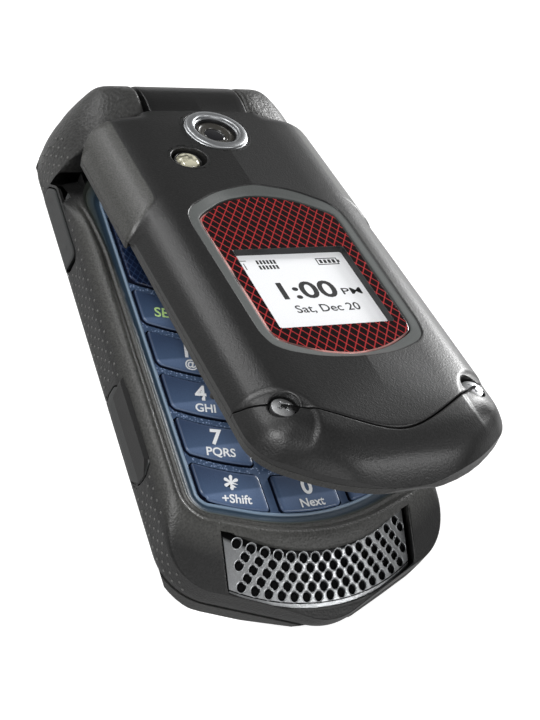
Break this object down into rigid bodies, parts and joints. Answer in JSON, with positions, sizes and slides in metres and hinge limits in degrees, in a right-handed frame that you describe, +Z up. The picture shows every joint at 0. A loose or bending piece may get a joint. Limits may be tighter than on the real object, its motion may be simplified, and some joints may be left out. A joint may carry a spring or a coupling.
{
  "type": "flip phone",
  "caption": "Rugged flip phone, standing slightly open: a thick base with a curved keypad and a chin speaker grille, and a hinged lid with an outer display and a camera.",
  "frame": {"origin": "centre of the flat back face, below the middle of the phone", "axes": "+Y along the phone towards the hinge, +Z up out of the keypad, +X to the right as seen with the hinge away from the user"},
  "size_m": [0.0522, 0.102, 0.0419],
  "materials": {
    "shell": "fine-grained soft-touch charcoal",
    "shell_trim": "fine-grained soft-touch charcoal",
    "shell_dark": "matte near-black",
    "rubber": "matte dark rubber",
    "deck": "satin dark navy",
    "keys": "satin slate blue",
    "textured_keys": "satin dark blue with a diamond texture",
    "silver": "satin silver",
    "mesh": "black woven mesh",
    "steel": "plain",
    "board": "green lacquer",
    "contacts": "gilt",
    "flex": "amber film",
    "cell": "grey wrap",
    "black_plastic": "black",
    "window": "dark red with a lattice, glossy",
    "display_white": "lit white",
    "glass": "polished black",
    "panel": "dark panel",
    "lens": "clear yellowish, glossy"
  },
  "bodies": {
    "base": {"rear_housing": "shell_dark", "front_housing": "shell", "housing_seal": "rubber", "housing_screws": "steel", "keypad_bezel": "deck", "key_membrane": "rubber", "dome_sheet": "steel", "main_board": "board", "speaker_grille": "silver", "grille_mesh": "mesh", "speakers": "black_plastic", "vibration_motor": "steel", "battery": "cell", "battery_contacts": "contacts", "card_holder": "steel", "usb_connector": "steel", "side_switches": "steel", "antenna": "contacts", "hinge_cam": "steel", "hinge_pin": "steel"},
    "lid": {"lid_outer_cover": "shell", "lid_chin_cover": "shell_trim", "lid_inner_cover": "shell_dark", "lid_screws": "steel", "lid_bumpers": "rubber", "lid_board": "board", "lid_flex": "flex", "main_display": "panel", "main_window": "glass", "outer_display": "display_white", "outer_window": "window", "camera_ring": "silver", "camera_module": "black_plastic", "flash_lens": "lens", "earpiece": "black_plastic"},
    "battery_cover": {"battery_cover": "shell_dark", "cover_seal": "rubber"},
    "cover_latch": {"cover_latch": "steel"},
    "volume_rocker": {"volume_rocker": "shell_trim"},
    "side_key": {"side_key": "shell_trim"},
    "port_door": {"port_door": "rubber"},
    "left_soft_key": {"left_soft_key": "textured_keys"},
    "right_soft_key": {"right_soft_key": "textured_keys"},
    "nav_ring": {"nav_ring": "keys"},
    "ok_key": {"ok_key": "silver"},
    "send_key": {"send_key": "keys"},
    "clear_key": {"clear_key": "keys"},
    "end_key": {"end_key": "keys"},
    "key_1": {"key_1": "keys"},
    "key_2": {"key_2": "keys"},
    "key_3": {"key_3": "keys"},
    "key_4": {"key_4": "keys"},
    "key_5": {"key_5": "keys"},
    "key_6": {"key_6": "keys"},
    "key_7": {"key_7": "keys"},
    "key_8": {"key_8": "keys"},
    "key_9": {"key_9": "keys"},
    "key_star": {"key_star": "keys"},
    "key_0": {"key_0": "keys"},
    "key_hash": {"key_hash": "keys"}
  },
  "joints": [
    {"name": "lid_hinge", "type": "hinge", "parent": "base", "child": "lid", "pos_m": [0, 0.0438, 0.0136], "axis": [-1, 0, 0], "range_deg": [-15.2, 144.8]},
    {"name": "battery_cover_slide", "type": "slide", "parent": "base", "child": "battery_cover", "axis": [0, 0, -1], "range_m": [0, 0.02]},
    {"name": "cover_latch_turn", "type": "hinge", "parent": "battery_cover", "child": "cover_latch", "pos_m": [0, 0.0302, 0.0005], "axis": [0, 0, 1], "range_deg": [0, 90]},
    {"name": "volume_rocker_tilt", "type": "hinge", "parent": "base", "child": "volume_rocker", "pos_m": [-0.0253, 0.028, 0.00575], "axis": [0, 0, 1], "range_deg": [-2, 2], "stiffness_Nm_per_rad": 0.2},
    {"name": "side_key_press", "type": "slide", "parent": "base", "child": "side_key", "axis": [-1, 0, 0], "range_m": [0, 0.0003], "stiffness_N_per_m": 5000},
    {"name": "port_door_swing", "type": "hinge", "parent": "base", "child": "port_door", "pos_m": [-0.02465, -0.0076, 0.0068], "axis": [0, 0, -1], "range_deg": [0, 95]},
    {"name": "left_soft_key_press", "type": "slide", "parent": "base", "child": "left_soft_key", "axis": [0, 0, -1], "range_m": [0, 0.0003], "stiffness_N_per_m": 5000},
    {"name": "right_soft_key_press", "type": "slide", "parent": "base", "child": "right_soft_key", "axis": [0, 0, -1], "range_m": [0, 0.0003], "stiffness_N_per_m": 5000},
    {"name": "nav_ring_press", "type": "slide", "parent": "base", "child": "nav_ring", "axis": [0, 0, -1], "range_m": [0, 0.0003], "stiffness_N_per_m": 5000},
    {"name": "ok_key_press", "type": "slide", "parent": "base", "child": "ok_key", "axis": [0, 0, -1], "range_m": [0, 0.0003], "stiffness_N_per_m": 5000},
    {"name": "send_key_press", "type": "slide", "parent": "base", "child": "send_key", "axis": [0, 0, -1], "range_m": [0, 0.0003], "stiffness_N_per_m": 5000},
    {"name": "clear_key_press", "type": "slide", "parent": "base", "child": "clear_key", "axis": [0, 0, -1], "range_m": [0, 0.0003], "stiffness_N_per_m": 5000},
    {"name": "end_key_press", "type": "slide", "parent": "base", "child": "end_key", "axis": [0, 0, -1], "range_m": [0, 0.0003], "stiffness_N_per_m": 5000},
    {"name": "key_1_press", "type": "slide", "parent": "base", "child": "key_1", "axis": [0, 0, -1], "range_m": [0, 0.0003], "stiffness_N_per_m": 5000},
    {"name": "key_2_press", "type": "slide", "parent": "base", "child": "key_2", "axis": [0, 0, -1], "range_m": [0, 0.0003], "stiffness_N_per_m": 5000},
    {"name": "key_3_press", "type": "slide", "parent": "base", "child": "key_3", "axis": [0, 0, -1], "range_m": [0, 0.0003], "stiffness_N_per_m": 5000},
    {"name": "key_4_press", "type": "slide", "parent": "base", "child": "key_4", "axis": [0, 0, -1], "range_m": [0, 0.0003], "stiffness_N_per_m": 5000},
    {"name": "key_5_press", "type": "slide", "parent": "base", "child": "key_5", "axis": [0, 0, -1], "range_m": [0, 0.0003], "stiffness_N_per_m": 5000},
    {"name": "key_6_press", "type": "slide", "parent": "base", "child": "key_6", "axis": [0, 0, -1], "range_m": [0, 0.0003], "stiffness_N_per_m": 5000},
    {"name": "key_7_press", "type": "slide", "parent": "base", "child": "key_7", "axis": [0, 0, -1], "range_m": [0, 0.0003], "stiffness_N_per_m": 5000},
    {"name": "key_8_press", "type": "slide", "parent": "base", "child": "key_8", "axis": [0, 0, -1], "range_m": [0, 0.0003], "stiffness_N_per_m": 5000},
    {"name": "key_9_press", "type": "slide", "parent": "base", "child": "key_9", "axis": [0, 0, -1], "range_m": [0, 0.0003], "stiffness_N_per_m": 5000},
    {"name": "key_star_press", "type": "slide", "parent": "base", "child": "key_star", "axis": [0, 0, -1], "range_m": [0, 0.0003], "stiffness_N_per_m": 5000},
    {"name": "key_0_press", "type": "slide", "parent": "base", "child": "key_0", "axis": [0, 0, -1], "range_m": [0, 0.0003], "stiffness_N_per_m": 5000},
    {"name": "key_hash_press", "type": "slide", "parent": "base", "child": "key_hash", "axis": [0, 0, -1], "range_m": [0, 0.0003], "stiffness_N_per_m": 5000}
  ]
}
